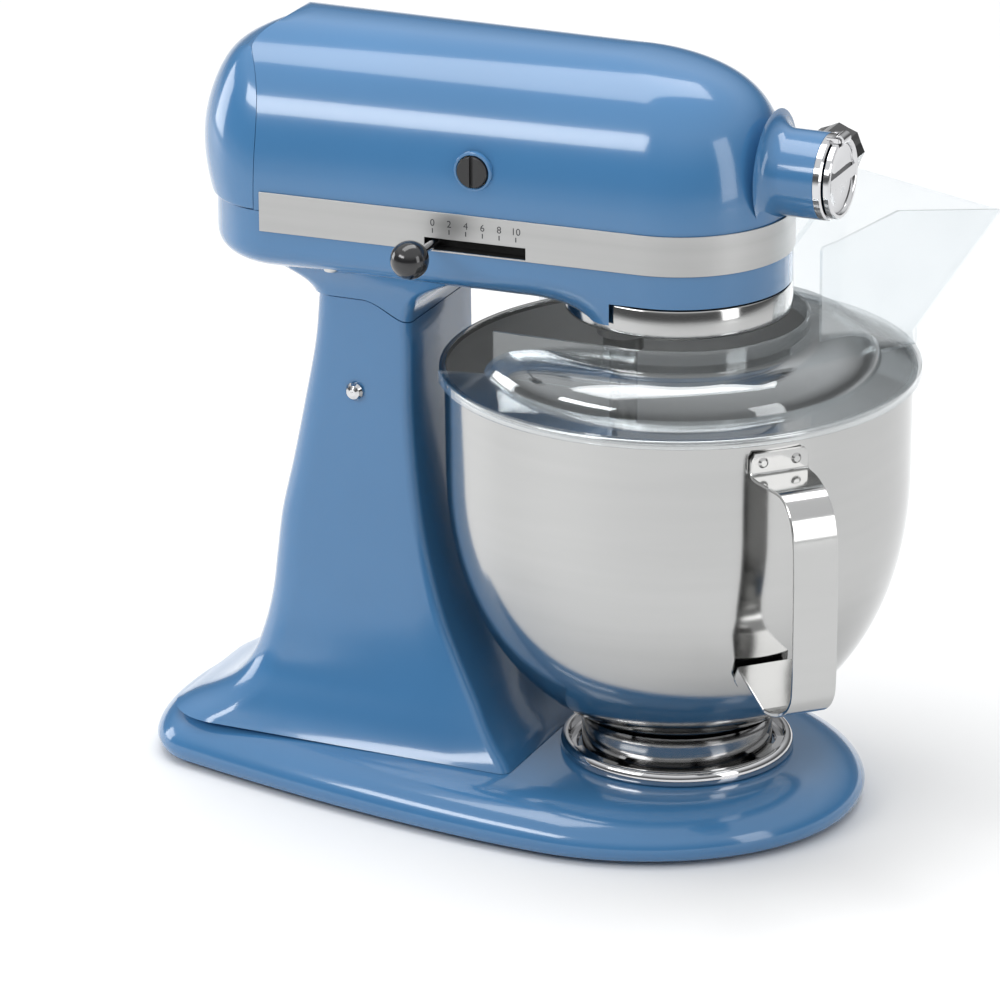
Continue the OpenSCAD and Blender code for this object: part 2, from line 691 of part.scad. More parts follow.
shaft_end = 176;
module beater_shaft() {
    color("silver") difference() {
        union() {
            rod_z(shaft_end + 1.2, 252.4, beater_r, -orbit_r, 0);
            translate([-orbit_r, 0, shaft_end]) cylinder(r1 = beater_r - 1.2, r2 = beater_r, h = 1.2);
            rod_z(215, 221.6, 9.4, -orbit_r, 0);
        }
        rod_y(-12, 12, 1.6, -orbit_r, 197);
    }
}

module beater_pin() {
    color("silver") rod_y(-10.6, 10.6, 1.6, -orbit_r, 197);
}

module hub_ring() {
    color("silver") difference() {
        rod_x(71, 74.6, 19.7, 0, hub_z);
        rod_x(70, 76, 17, 0, hub_z);
        translate([72, -6, hub_z + 14]) cube([8, 12, 10]);
    }
}

module hub_bearing() {
    color("peru") difference() {
        rod_x(35, 44, 16.9, 0, hub_z);
        rod_x(34, 45, 9.05, 0, hub_z);
    }
}

module hub_drive_shaft() {
    color("silver") difference() {
        union() {
            rod_x(19, 52, 9, 0, hub_z);
            rod_x(44.2, 52, 12, 0, hub_z);
        }
        translate([38, -4.2, hub_z - 4.2]) cube([20, 8.4, 8.4]);
    }
}

module hub_bevel_pinion() {
    color("silver") translate([0, 0, hub_z]) rotate([0, 90, 0]) difference() {
        rotate_extrude() polygon([[9, 20], [20 * bevel_slope - 0.1, 20], [29 * bevel_slope - 0.1, 29], [14, 33], [9, 33]]);
        for (i = [0 : 19]) rotate(18 * i + 9) translate([20 * bevel_slope, 0, 20]) rotate([0, 33.2, 0])
            translate([-1.5, -0.9, -3]) cube([4, 1.8, 18]);
    }
}

cover_pivot_x = 77.6;
cover_pivot_z = hub_z + 18.2;
module hub_cover() {
    color("silver") difference() {
        union() {
            translate([75, 0, hub_z]) rotate([0, 90, 0]) rotate_extrude($fn = 96)
                polygon([[0, 0], [17.5, 0], [18.5, 0.8], [18.5, 2.6], [17.6, 3.4], [15.6, 3.4], [15, 2.6], [0, 2.6]]);
            intersection() {
                translate([76, -16, hub_z - 2.6]) cube([3.2, 32, 6]);
                rod_x(74, 80, 16, 0, hub_z);
            }
            rod_y(-4.4, 4.4, 2.6, cover_pivot_x, cover_pivot_z);
        }
        rod_y(-6, 6, 1.25, cover_pivot_x, cover_pivot_z);
        for (y = [-6.2, 4.4]) translate([74, y, hub_z + 15.7]) cube([6, 1.8, 6]);
    }
}

module hub_cover_pin() {
    color("silver") {
        rod_y(-5.4, 5.4, 1.2, cover_pivot_x, cover_pivot_z);
        for (s = [-1, 1]) translate([72.2, s > 0 ? 4.6 : -5.8, cover_pivot_z - 1.4]) cube([5.6, 1.2, 2.8]);
    }
}

// Thumb screw that clamps an attachment's shank
module attachment_knob() {
    color("black") {
        translate([61, 40.5, hub_z]) rotate([90, 0, 0]) linear_extrude(17) polygon([
            for (i = [0 : 31]) let (a = 11.25 * i) (12.4 - 1.1 * abs(sin(4 * a))) * [cos(a), sin(a)]]);
        rod_y(18.4, 24, 3.1, 61, hub_z);
    }
}

lever_x = -96.5;
lever_z = 272;
module speed_lever() {
    color("silver") {
        rod_y(-75, -40, 2.1, lever_x, lever_z);
        translate([lever_x - 4, -42, 268.4]) cube([8, 3, 6.4]);
    }
}

module speed_knob() {
    color("black") difference() {
        translate([lever_x, -81, lever_z]) sphere(r = 8.8);
        rod_y(-75, -60, 2.1, lever_x, lever_z);
    }
}

// Plate that carries the lever's foot to the speed contacts
module speed_plate() {
    color("silver") translate([lever_x - 6, -38.9, 266]) cube([22, 2, 12]);
}

// ---- Bowl ------------------------------------------------------------------

bowl_mid = 165;
bowl_deep = 128.5;
function bowl_radius(z) = z > bowl_mid
    ? bowl_r + 0.5 * (z - bowl_mid) / (rim_z - bowl_mid)
    : bowl_r * pow(max(0, 1 - pow((bowl_mid - z) / bowl_deep, 2.2)), 1 / 2.2);
bowl_steps = [rim_z - 2.5, 190, bowl_mid, 148, 132, 118, 104, 91, 80, 70, 61, 54, 48.5, 45.5];

module bowl_shell() {
    outside = [for (z = bowl_steps) [bowl_radius(z), z]];
    inside = [for (i = [len(bowl_steps) - 1 : -1 : 0]) let (z = bowl_steps[i], k = bowl_t * (z > 80 ? 1 : 0.75))
        [bowl_radius(z) - k, z + bowl_t * clamp01((130 - z) / 80)]];
    color("silver") rotate_extrude($fn = 96) polygon(concat(
        [[bowl_r - 0.6, rim_z - 0.4], [bowl_r + 1.6, rim_z], [bowl_r + 2.7, rim_z - 1.4], [bowl_r + 1.6, rim_z - 2.6]],
        outside, [[40, 42.4], [0, 42.4], [0, 43.4], [40, 43.4]], inside));
}

foot_r = 44;
module bowl_foot() {
    color("silver") {
        rotate_extrude($fn = 96) polygon([[foot_r - 1.4, 25], [foot_r, 25], [foot_r, 38], [foot_r + 1.6, 43],
            [foot_r + 3, 45.4], [foot_r - 5, 41.9], [foot_r - 3.6, 41.2], [foot_r - 1.4, 38.4]]);
        for (a = [0, 120, 240]) rotate(a - 10) rotate_extrude(angle = 20, $fn = 96)
            polygon([[foot_r - 0.5, 26.4], [48.6, 26.4], [48.6, 28.2], [foot_r - 0.5, 28.2]]);
    }
}

// Outline of the handle's strap in the upright plane through the bowl's axis
HANDLE = [[106.5, 204], [106.5, 194.5], [110, 192.4], [124, 192], [133, 190.6], [140, 185], [143.8, 176],
    [145, 160], [145, 130], [144.4, 106], [142, 98], [136, 92.4], [128, 89], [121, 88.6], [96.4, 99.6],
    [93.2, 95.6], [89.2, 88.6]];
function unit(v) = v / norm(v);
function strap_normal(i) = let (
    a = HANDLE[max(0, i - 1)], b = HANDLE[min(len(HANDLE) - 1, i + 1)], d = unit(b - a)) [-d[1], d[0]];
handle_t = 1.8;

module bowl_handle() {
    outer = [for (i = [0 : len(HANDLE) - 1]) HANDLE[i] + strap_normal(i) * handle_t];
    inner = [for (i = [len(HANDLE) - 1 : -1 : 0]) HANDLE[i]];
    color("silver") rotate(handle_angle) difference() {
        translate([0, 14, 0]) rotate([90, 0, 0]) linear_extrude(28) polygon(concat(outer, inner));
        for (s = [-1, 1]) translate([124, s > 0 ? 10.6 : -24.6, 80]) cube([40, 14, 130]);
        for (s = [-8, 8]) rod_x(100, 112, 1.5, s, 199.5);
    }
}

module handle_rivets() {
    color("silver") rotate(handle_angle) for (s = [-8, 8]) {
        rod_x(106.4, 108.4, 1.45, s, 199.5);
        translate([108.35, s, 199.5]) rotate([0, 90, 0]) cylinder(r1 = 2.4, r2 = 1.4, h = 0.9);
    }
}

// ---- Pouring shield ----------------------------------------------------------

shield_in = 58;
shield_out = 110.3;
shield_t = 1.6;
flange_z = rim_z + shield_t + 0.2;
collar_z = 236;
chute_angle = 67;
// Half profile of the clear shield, from its collar over the dome to the skirt outside the rim
function shield_line(t) = concat(
    [[shield_in + t, 229.5 - t * 0.8], [66, 229.8 - t]],
    [for (i = [0 : 5]) let (a = 80 - 15 * i) [68 + (24 - t) * cos(a), 213 + (17 - t) * sin(a)]],
    [[shield_out - t, flange_z - t]]);
function shield_profile() = concat(
    [[shield_in, collar_z], [shield_in + shield_t, collar_z]],
    shield_line(0), [[shield_out, 208]], [[shield_out - shield_t, 208]],
    [let (p = shield_line(shield_t)) for (i = [len(p) - 1 : -1 : 0]) p[i] - [i == 0 ? shield_t : 0, 0]]);

module pouring_shield() {
    color("lightcyan", 0.4) {
        difference() {
            rotate(-156) rotate_extrude(angle = 312, $fn = 96) polygon(shield_profile());
            // Slot towards the column, and the opening under the chute
            translate([-130, -shield_in - 0.2, 200]) cube([130, 2 * shield_in + 0.4, 50]);
            rotate(chute_angle) translate([shield_in + 6, chute_y[0] + 2, 200]) cube([20, chute_y[1] - chute_y[0] - 4, 50]);
        }
        for (s = [-1, 1]) translate([-66, s * (shield_in + 0.2) - shield_t / 2, 214])
            cube([69, shield_t, collar_z - 214.6]);
        rotate(chute_angle) chute();
    }
}

// Chute, drawn with its mouth on +X: two side walls, a floor that slopes out over the rim
chute_y = [-61.5, 33.5];
chute_lip = [145.5, 265];
chute_root = [86, 219];
module chute() {
    t = shield_t;
    near = [[29, 228.6], [29, 273], [40, 273.6], [79, 279], [147, 264.4],
        [147, 263.2], [92, 220.4], [92, 212.8], [70, 213.4],
        [66, 218], [58, 223.8], [50, 226.6], [40, 228.2]];
    far = [[60, 228.6], [60, 268], [79, 276], [147, 264.4], [147, 263.2], [104.4, 230.2], [104.4, 212.8], [86, 213.5],
        [80, 222], [70, 227.2]];
    translate([0, chute_y[0] + t, 0]) rotate([90, 0, 0]) linear_extrude(t) polygon(near);
    translate([0, chute_y[1], 0]) rotate([90, 0, 0]) linear_extrude(t) polygon(far);
    translate([0, chute_y[1] - t / 2, 0]) rotate([90, 0, 0]) linear_extrude(chute_y[1] - chute_y[0] - t)
        polygon([chute_root, [88.6, 212.6], [91.2, 212.6], [89.5, 219.4], chute_lip + [1.1, -1.4], chute_lip]);
}

base_plate();
pedestal();
rubber_feet();
pedestal_screws();
bowl_clamp_plate();
clamp_plate_screws();
hinge_pin();
hinge_set_screw();
lock_shaft();
lock_lever();
lock_knob();
lock_pin();
motor_housing();
rear_cover();
rear_cover_screw();
gearcase_lower();
gearcase_screws();
trim_band();
brush_holders();
carbon_brushes();
brush_caps();
motor_stator();
bearing_bracket();
motor_bearings();
control_board();
cord_grommet();
armature();
commutator();
cooling_fan();
worm_wheel();
worm_wheel_shaft();
centre_gear();
centre_shaft();
shaft_bushes();
ring_gear();
planetary_carrier();
drip_ring();
planet_pinion();
beater_shaft();
beater_pin();
hub_ring();
hub_bearing();
hub_drive_shaft();
hub_bevel_pinion();
hub_cover();
hub_cover_pin();
attachment_knob();
speed_lever();
speed_knob();
speed_plate();
bowl_shell();
bowl_foot();
bowl_handle();
handle_rivets();
pouring_shield();
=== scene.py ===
"""Looks of the tilt-head stand mixer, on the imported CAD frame. Sizes are in mm and drawn in metres."""
import json
import math

import bpy
import bmesh
from mathutils import Matrix, Vector


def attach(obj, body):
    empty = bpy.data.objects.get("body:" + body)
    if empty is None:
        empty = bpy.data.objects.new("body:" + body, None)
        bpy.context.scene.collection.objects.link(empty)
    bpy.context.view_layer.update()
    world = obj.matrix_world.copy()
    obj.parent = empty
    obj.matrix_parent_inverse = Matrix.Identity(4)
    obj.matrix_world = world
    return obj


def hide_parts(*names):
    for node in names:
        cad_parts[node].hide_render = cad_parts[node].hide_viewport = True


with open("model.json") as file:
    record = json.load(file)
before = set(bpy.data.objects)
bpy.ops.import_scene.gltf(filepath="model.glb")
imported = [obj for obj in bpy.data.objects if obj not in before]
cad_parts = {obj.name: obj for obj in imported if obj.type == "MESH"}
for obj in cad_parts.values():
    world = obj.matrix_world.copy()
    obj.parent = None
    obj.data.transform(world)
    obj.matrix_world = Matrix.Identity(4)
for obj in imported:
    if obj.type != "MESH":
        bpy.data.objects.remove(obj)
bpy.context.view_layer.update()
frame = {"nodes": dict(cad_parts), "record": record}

# ---- Sizes shared with the CAD source ---------------------------------------
HEAD_HALF, HEAD_FLARE, HEAD_TOP, SPLIT, ARCH_N = 51.5, 6.5, 356.97, 278.0, 2.35
REAR_X, REAR_ROUND, COVER_TOP = -181.0, 40.4, 347.0
HUB_Z, BRUSH_X, BRUSH_Z = 307.5, -78.0, 307.0
HINGE_X, HINGE_Z, SEAM_Z = -166.0, 247.0, 234.0
LOCK_X = -144.0
LEVER_X, LEVER_Z = -96.5, 272.0
SLOT_X, SLOT_Z = (-100.5, -52.0), (269.2, 274.8)
BAND_Z = (268.5, 287.0)
BOWL_R, RIM_Z, BOWL_MID, BOWL_DEEP = 105.8, 211.4, 165.0, 128.5
HANDLE_ANGLE = math.radians(-43.8)
COLUMN = [
    (24.5, -57, -239, 66, 61, 30), (28, -60, -233, 63.5, 59.5, 29), (34, -66, -221, 60.5, 57, 27),
    (42, -72, -209, 57.5, 54.5, 24), (52, -78, -201, 54, 51, 22), (66, -87, -195, 49.5, 48.5, 20),
    (84, -97, -191, 45.5, 45.5, 19), (104, -104.5, -189, 42.5, 43, 18), (125, -110, -186, 40.5, 41.5, 16),
    (150, -114, -180.5, 39, 39.5, 15), (180, -116.5, -174, 38, 38, 13), (210, -117, -168, 37.5, 37.5, 12),
    (236, -117, -165.5, 37.5, 37.5, 12)]
NECK = [
    (222, -117, -165.5, 37.5, 37.5, 12), (230, -116.5, -166, 37.5, 37.5, 12),
    (236, -113.5, -168.5, 38.5, 38.5, 12), (241, -108, -173, 40.5, 40.5, 12),
    (246, -99, -180, 43.5, 43.5, 12), (252, -86, -190, 47.5, 47.5, 12)]
HANDLE = [
    (106.5, 204), (106.5, 194.5), (110, 192.4), (124, 192), (133, 190.6), (140, 185), (143.8, 176),
    (145, 160), (145, 130), (144.4, 106), (142, 98), (136, 92.4), (128, 89), (121, 88.6), (96.4, 99.6),
    (93.2, 95.6), (89.2, 88.6)]
FEET = [(62, 0), (-20, 78), (-20, -78), (-212, 40), (-212, -40)]
BASE_SCREWS = [(-95, 38), (-95, -38), (-195, 34), (-195, -34)]


def mix(a, b, t):
    return a + (b - a) * t


def ease(t):
    t = min(1, max(0, t))
    return t * t * (3 - 2 * t)


def arc(cx, cy, r, a0, a1, n):
    """Points on a circle from angle a0 to a1 in degrees."""
    return [(cx + r * math.cos(math.radians(mix(a0, a1, i / n))),
             cy + r * math.sin(math.radians(mix(a0, a1, i / n)))) for i in range(n + 1)]


def spline(table, z):
    """Row of the table at height z, on a smooth curve through its rows."""
    k = max(i for i in range(len(table) - 1) if table[i][0] <= z or i == 0)
    low, high = table[k], table[k + 1]
    before, after = table[max(0, k - 1)], table[min(len(table) - 1, k + 2)]
    span = high[0] - low[0]
    t = (z - low[0]) / span
    row = [z]
    for j in range(1, len(low)):
        m0 = (high[j] - before[j]) / (high[0] - before[0]) * span
        m1 = (after[j] - low[j]) / (after[0] - low[0]) * span
        row.append((2 * t**3 - 3 * t**2 + 1) * low[j] + (t**3 - 2 * t**2 + t) * m0
                   + (3 * t**2 - 2 * t**3) * high[j] + (t**3 - t**2) * m1)
    return row


def curve2d(points, steps):
    """Smooth polyline through points, with extra points between them."""
    out = []
    for i in range(len(points) - 1):
        p0, p1 = points[max(0, i - 1)], points[i]
        p2, p3 = points[i + 1], points[min(len(points) - 1, i + 2)]
        for s in range(steps):
            t = s / steps
            out.append(tuple(0.5 * (2 * b + (c - a) * t + (2 * a - 5 * b + 4 * c - d) * t * t
                                    + (3 * b - a - 3 * c + d) * t**3)
                             for a, b, c, d in zip(p0, p1, p2, p3)))
    out.append(points[-1])
    return out


# ---- Mesh builders: each gives (points in mm, faces) --------------------------
def loft(rings, capped=True):
    n = len(rings[0])
    verts = [p for ring in rings for p in ring]
    faces = [(k * n + i, k * n + (i + 1) % n, (k + 1) * n + (i + 1) % n, (k + 1) * n + i)
             for k in range(len(rings) - 1) for i in range(n)]
    if capped:
        faces += [tuple(range(n - 1, -1, -1)), tuple(range(len(verts) - n, len(verts)))]
    return verts, faces


def lathe(profile, steps=96, axis="z", at=(0, 0, 0)):
    """Closed or axis-touching profile of (radius, height) turned about an axis through a point."""
    rings = []
    for i in range(steps):
        a = 2 * math.pi * i / steps
        ring = []
        for r, h in profile:
            u, v = r * math.cos(a), r * math.sin(a)
            p = {"z": (u, v, h), "x": (h, u, v), "y": (v, h, u)}[axis]
            ring.append(tuple(c + d for c, d in zip(p, at)))
        rings.append(ring)
    verts, faces = loft(rings + [rings[0]], capped=False)
    return verts, faces


def prism(points, plane, low, high):
    """Outline in a named plane, raised between two heights along the third axis."""
    order = {
        "xy": lambda u, v, w: (u, v, w),
        "xz": lambda u, v, w: (u, w, v),
        "yz": lambda u, v, w: (w, u, v)}[plane]
    return loft([[order(u, v, w) for u, v in points] for w in (low, high)])


def block(low, high):
    (x0, y0, z0), (x1, y1, z1) = low, high
    return prism([(x0, y0), (x1, y0), (x1, y1), (x0, y1)], "xy", z0, z1)


def turned(shape, angle, at=(0, 0, 0)):
    m = Matrix.Translation(at) @ Matrix.Rotation(angle, 4, "Z")
    return [tuple(m @ Vector(p)) for p in shape[0]], shape[1]


def merged(*shapes):
    verts, faces = [], []
    for v, f in shapes:
        n = len(verts)
        verts += v
        faces += [tuple(i + n for i in face) for face in f]
    return verts, faces


def make_mesh(name, shape):
    mesh = bpy.data.meshes.new(name)
    mesh.from_pydata([tuple(c * 0.001 for c in p) for p in shape[0]], [], shape[1])
    bm = bmesh.new()
    bm.from_mesh(mesh)
    bmesh.ops.remove_doubles(bm, verts=bm.verts, dist=1e-6)
    bmesh.ops.dissolve_degenerate(bm, dist=1e-6, edges=bm.edges)
    bmesh.ops.recalc_face_normals(bm, faces=bm.faces)
    bm.to_mesh(mesh)
    bm.free()
    obj = bpy.data.objects.new(name, mesh)
    bpy.context.scene.collection.objects.link(obj)
    return obj


def boolean(obj, shape, operation="DIFFERENCE"):
    """Applies a boolean of the object with a closed shape."""
    tool = make_mesh("tool", shape)
    mod = obj.modifiers.new("b", "BOOLEAN")
    mod.operation, mod.solver, mod.object = operation, "EXACT", tool
    graph = bpy.context.evaluated_depsgraph_get()
    graph.update()
    mesh = bpy.data.meshes.new_from_object(obj.evaluated_get(graph))
    obj.modifiers.clear()
    old = obj.data
    obj.data = mesh
    bpy.data.meshes.remove(old)
    bpy.data.objects.remove(tool)


def add_shape(obj, shape):
    """Adds a closed shape to the object's mesh, as it is."""
    extra = make_mesh("extra", shape)
    bm = bmesh.new()
    bm.from_mesh(obj.data)
    bm.from_mesh(extra.data)
    bm.to_mesh(obj.data)
    bm.free()
    bpy.data.objects.remove(extra)


def finish_piece(obj, material, body, nodes, smooth=35, bevel=0.0, segments=3):
    """Shading, small edge radius, material, and the body that the piece rides on."""
    obj.data.shade_smooth()
    obj.data.set_sharp_from_angle(angle=math.radians(smooth))
    if bevel:
        mod = obj.modifiers.new("edge", "BEVEL")
        mod.width, mod.segments, mod.limit_method = bevel * 0.001, segments, "ANGLE"
        mod.angle_limit = math.radians(40)
        mod.harden_normals = True
        mod.use_clamp_overlap = True
    obj.data.materials.clear()
    obj.data.materials.append(material)
    if nodes:
        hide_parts(*nodes)
    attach(obj, body)
    return obj


# ---- Materials -----------------------------------------------------------------
def new_material(name):
    m = bpy.data.materials.new(name)
    m.use_nodes = True
    tree = m.node_tree
    shader = tree.nodes["Principled BSDF"]
    coords = tree.nodes.new("ShaderNodeTexCoord")
    return m, tree, shader, coords


def noise(tree, coords, scale, detail=4.0, stretch=(1, 1, 1)):
    mapping = tree.nodes.new("ShaderNodeMapping")
    mapping.inputs["Scale"].default_value = stretch
    tex = tree.nodes.new("ShaderNodeTexNoise")
    tex.inputs["Scale"].default_value = scale
    tex.inputs["Detail"].default_value = detail
    tree.links.new(coords.outputs["Object"], mapping.inputs["Vector"])
    tree.links.new(mapping.outputs["Vector"], tex.inputs["Vector"])
    return tex.outputs["Fac"]


def ramp(tree, fac, low, high, start=0.3, end=0.7):
    """Maps a value to a colour between low and high."""
    node = tree.nodes.new("ShaderNodeValToRGB")
    node.color_ramp.elements[0].position, node.color_ramp.elements[1].position = start, end
    node.color_ramp.elements[0].color = (*low, 1)
    node.color_ramp.elements[1].color = (*high, 1)
    tree.links.new(fac, node.inputs["Fac"])
    return node.outputs["Color"]


def spread(tree, fac, low, high):
    node = tree.nodes.new("ShaderNodeMapRange")
    node.inputs["To Min"].default_value, node.inputs["To Max"].default_value = low, high
    tree.links.new(fac, node.inputs["Value"])
    return node.outputs["Result"]


def bump(tree, fac, strength, distance):
    node = tree.nodes.new("ShaderNodeBump")
    node.inputs["Strength"].default_value = strength
    node.inputs["Distance"].default_value = distance
    tree.links.new(fac, node.inputs["Height"])
    return node.outputs["Normal"]


def surface(name, color, metallic, rough, vary=0.06, grain=60.0, stretch=(1, 1, 1),
            bump_strength=0.1, bump_size=0.00002, fine=900.0, **fixed):
    """Solid material: colour varies softly, roughness and bump follow a fine grain."""
    m, tree, shader, coords = new_material(name)
    shader.inputs["Metallic"].default_value = metallic
    soft = noise(tree, coords, grain, 3.0, stretch)
    low = tuple(c * (1 - vary) for c in color)
    high = tuple(min(1, c * (1 + vary)) for c in color)
    tree.links.new(ramp(tree, soft, low, high), shader.inputs["Base Color"])
    grit = noise(tree, coords, fine, 2.0, stretch)
    tree.links.new(spread(tree, grit, rough[0], rough[1]), shader.inputs["Roughness"])
    tree.links.new(bump(tree, grit, bump_strength, bump_size), shader.inputs["Normal"])
    for key, value in fixed.items():
        shader.inputs[key.replace("_", " ")].default_value = value
    return m


def clear_plastic():
    """Clear moulded plastic: see-through face on, brighter and glossier towards its edges."""
    m, tree, shader, coords = new_material("clear_plastic")
    shader.inputs["Metallic"].default_value = 1.0
    haze = noise(tree, coords, 30.0, 2.0)
    tree.links.new(ramp(tree, haze, (0.80, 0.83, 0.84), (0.88, 0.90, 0.91)), shader.inputs["Base Color"])
    tree.links.new(spread(tree, haze, 0.02, 0.06), shader.inputs["Roughness"])
    clear = tree.nodes.new("ShaderNodeBsdfTransparent")
    clear.inputs["Color"].default_value = (0.965, 0.975, 0.98, 1)
    weight = tree.nodes.new("ShaderNodeLayerWeight")
    weight.inputs["Blend"].default_value = 0.35
    share = spread(tree, weight.outputs["Facing"], 0.05, 0.60)
    blend = tree.nodes.new("ShaderNodeMixShader")
    tree.links.new(share, blend.inputs["Fac"])
    tree.links.new(clear.outputs["BSDF"], blend.inputs[1])
    tree.links.new(shader.outputs["BSDF"], blend.inputs[2])
    tree.links.new(blend.outputs["Shader"], tree.nodes["Material Output"].inputs["Surface"])
    return m


M = {
    "enamel": surface("blue_enamel", (0.052, 0.174, 0.358), 0.0, (0.12, 0.19), vary=0.03, grain=14,
                      bump_strength=0.10, bump_size=0.000012, fine=420, Coat_Weight=0.5, Coat_Roughness=0.04),
    "rubber": surface("black_rubber", (0.03, 0.03, 0.03), 0.0, (0.65, 0.85),
                      bump_strength=0.4, bump_size=0.00005),
    "steel": surface("machined_steel", (0.56, 0.56, 0.55), 1.0, (0.22, 0.36), stretch=(1, 1, 6), fine=500),
    "polished_steel": surface("polished_steel", (0.46, 0.46, 0.455), 1.0, (0.08, 0.16), vary=0.02, grain=9,
                              stretch=(1, 1, 14), fine=260, bump_strength=0.06, bump_size=0.00001),
    "chrome": surface("chrome", (0.60, 0.60, 0.61), 1.0, (0.05, 0.10), vary=0.02, bump_strength=0.04),
    "silver_trim": surface("brushed_band", (0.46, 0.46, 0.455), 0.9, (0.30, 0.44), vary=0.05, grain=40,
                           stretch=(0.06, 0.06, 3), fine=800, bump_strength=0.25, bump_size=0.00002),
    "cast_satin": surface("satin_casting", (0.44, 0.44, 0.435), 0.9, (0.32, 0.46),
                          bump_strength=0.3, bump_size=0.00004),
    "black_knob": surface("gloss_black", (0.012, 0.012, 0.013), 0.0, (0.10, 0.18), bump_strength=0.05,
                          Coat_Weight=0.4, Coat_Roughness=0.06),
    "black_plastic": surface("black_plastic", (0.02, 0.02, 0.021), 0.0, (0.34, 0.46),
                             bump_strength=0.25, bump_size=0.00003),
    "white_plastic": surface("white_nylon", (0.76, 0.75, 0.70), 0.0, (0.38, 0.5), bump_strength=0.2),
    "carbon": surface("pressed_carbon", (0.03, 0.03, 0.032), 0.1, (0.5, 0.7),
                      bump_strength=0.4, bump_size=0.00005),
    "brass": surface("brass", (0.72, 0.50, 0.18), 1.0, (0.2, 0.34), stretch=(1, 1, 4)),
    "bronze": surface("bronze", (0.52, 0.32, 0.15), 1.0, (0.25, 0.4), stretch=(1, 1, 4)),
    "winding": surface("varnished_copper", (0.50, 0.24, 0.09), 0.7, (0.3, 0.5), vary=0.2, grain=300,
                       stretch=(8, 1, 1), bump_strength=0.5, bump_size=0.0001),
    "dark_iron": surface("sintered_iron", (0.13, 0.13, 0.135), 0.9, (0.34, 0.5), bump_strength=0.3),
    "board": surface("circuit_board", (0.03, 0.16, 0.07), 0.0, (0.3, 0.45), vary=0.15, grain=200),
    "clear_plastic": clear_plastic(),
}
ink = surface("scale_ink", (0.03, 0.03, 0.035), 0.0, (0.4, 0.55))
brushed_inside = surface("brushed_bowl_inside", (0.66, 0.66, 0.655), 0.85, (0.26, 0.36), vary=0.03, grain=9,
                         stretch=(1, 1, 14), fine=260, bump_strength=0.12)
dark = surface("slot_shadow", (0.012, 0.012, 0.012), 0.0, (0.6, 0.8))

slots = {s["node"]: s["material_slot"] for s in frame["record"]["subparts"]}
for node, obj in frame["nodes"].items():
    obj.data.materials.clear()
    obj.data.materials.append(M[slots[node]])


def piece(name, shape, body, nodes, smooth=35, bevel=0.0, segments=3, slot=None):
    slot = slot or slots[nodes[0]]
    return finish_piece(make_mesh(name, shape), M[slot], body, nodes, smooth, bevel, segments)


# ---- Head -------------------------------------------------------------------------
def head_w(x):
    return HEAD_HALF + HEAD_FLARE * max(0, -x) / 180


def seam_x(z):
    return -184 - 14 * max(0, (z - 300) / 50) ** 3.5


def shoulder_x(z):
    if z < COVER_TOP:
        return seam_x(z)
    u = min(1, (z - COVER_TOP) / (HEAD_TOP - COVER_TOP))
    return mix(seam_x(COVER_TOP), REAR_X, 1 - math.sqrt(1 - u * u))


def head_outline(z, k, rear, centre, out=0.0):
    """Straight sides and a round nose, counterclockwise from the near rear corner."""
    near = [(mix(rear, centre, i / 28), -(k * head_w(mix(rear, centre, i / 28)) + out), z) for i in range(28)]
    nose = [(x, y, z) for x, y in arc(centre, 0, k * head_w(centre) + out, -90, 90, 48)]
    return near + nose + [(x, -y, z) for x, y, _ in reversed(near)]


housing = []
for i in range(45):
    a = math.radians(89.7 * (i / 44) ** 0.9)
    k, t = math.cos(a) ** (2 / ARCH_N), math.sin(a) ** (2 / ARCH_N)
    z = SPLIT + (HEAD_TOP - SPLIT) * t
    housing.append(head_outline(z, k, shoulder_x(z), -26 * t**10))
neck_profile = [(17, 44)] + [(19.7 + 8 * (1 - math.sin(math.radians(a))), 54 - 8 * math.cos(math.radians(a)))
                             for a in range(0, 91, 10)] + [(19.7, 70.6), (19.3, 71), (17, 71)]
brush_bosses = [lathe([(7.6, 51), (9.2, 51), (9.2, 53.0), (8.8, 53.4), (8.0, 53.4), (7.6, 53.0)], 64, "y",
                      (BRUSH_X, 0, BRUSH_Z))]
brush_bosses.append(([(x, -y, z) for x, y, z in brush_bosses[0][0]], brush_bosses[0][1]))
head_shell = make_mesh("head_shell", loft(housing))
boolean(head_shell, lathe([(0, 44), (17, 44), (17, 80), (0, 80)], 96, "x", (0, 0, HUB_Z)))
for side in (-1, 1):
    boolean(head_shell, lathe([(0, 46 * side), (7.6, 46 * side), (7.6, 62 * side), (0, 62 * side)], 64, "y",
                              (BRUSH_X, 0, BRUSH_Z)))
add_shape(head_shell, merged(lathe(neck_profile, 96, "x", (0, 0, HUB_Z)), *brush_bosses))
finish_piece(head_shell, M["enamel"], "head", ["motor_housing"], 32)


def dome_depth(z):
    if z > 303:
        return 44 * math.sqrt(max(0, 1 - ((z - 303) / (COVER_TOP + 0.3 - 303)) ** 2))
    return 44 * (1 - 0.11 * ((303 - z) / 25) ** 2)


def dome_ring(z, inset=0.0, front=0.0):
    t = (z - SPLIT) / (HEAD_TOP - SPLIT)
    w = (1 - max(0, t) ** ARCH_N) ** (1 / ARCH_N) * head_w(-184) - inset
    x0 = seam_x(z) - 0.3
    d = max(0.05, dome_depth(z) - inset)
    back = [(x0 + d * math.cos(math.radians(90 + 180 * i / 44)), w * math.sin(math.radians(90 + 180 * i / 44)), z)
            for i in range(45)]
    return back + [(x0 + front, mix(-w, w, i / 12), z) for i in range(1, 12)]


